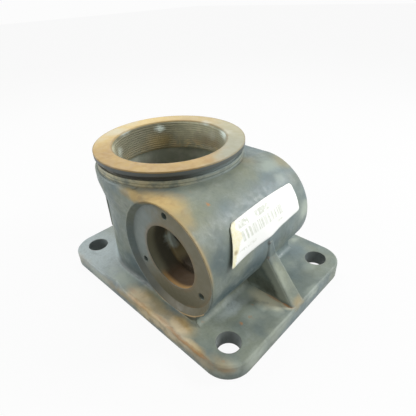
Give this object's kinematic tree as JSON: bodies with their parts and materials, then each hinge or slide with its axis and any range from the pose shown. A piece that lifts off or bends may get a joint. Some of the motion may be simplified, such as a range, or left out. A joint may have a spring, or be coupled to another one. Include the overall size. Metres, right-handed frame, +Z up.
{
  "type": "screw jack housing",
  "caption": "Cast iron housing of a worm gear screw jack: flanged base, threaded gear case mouth, crosswise worm barrel with bearing bores.",
  "frame": {"origin": "middle of the base plate's underside", "axes": "+Z up along the lifting screw's axis, towards the threaded mouth; +X along the plate's long side, from the screw axis towards the worm axis; +Y along the worm axis, away from the recessed bearing face"},
  "size_m": [0.2, 0.1536, 0.1131],
  "materials": {
    "painted_cast_iron": "thin blue-grey primer over rough cast skin, light tan rust on machined faces and edges",
    "label_paper": "matte white sticker, cream and curled at one end"
  },
  "bodies": {
    "root": {"housing": "painted_cast_iron", "paper_label": "label_paper"}
  },
  "joints": []
}
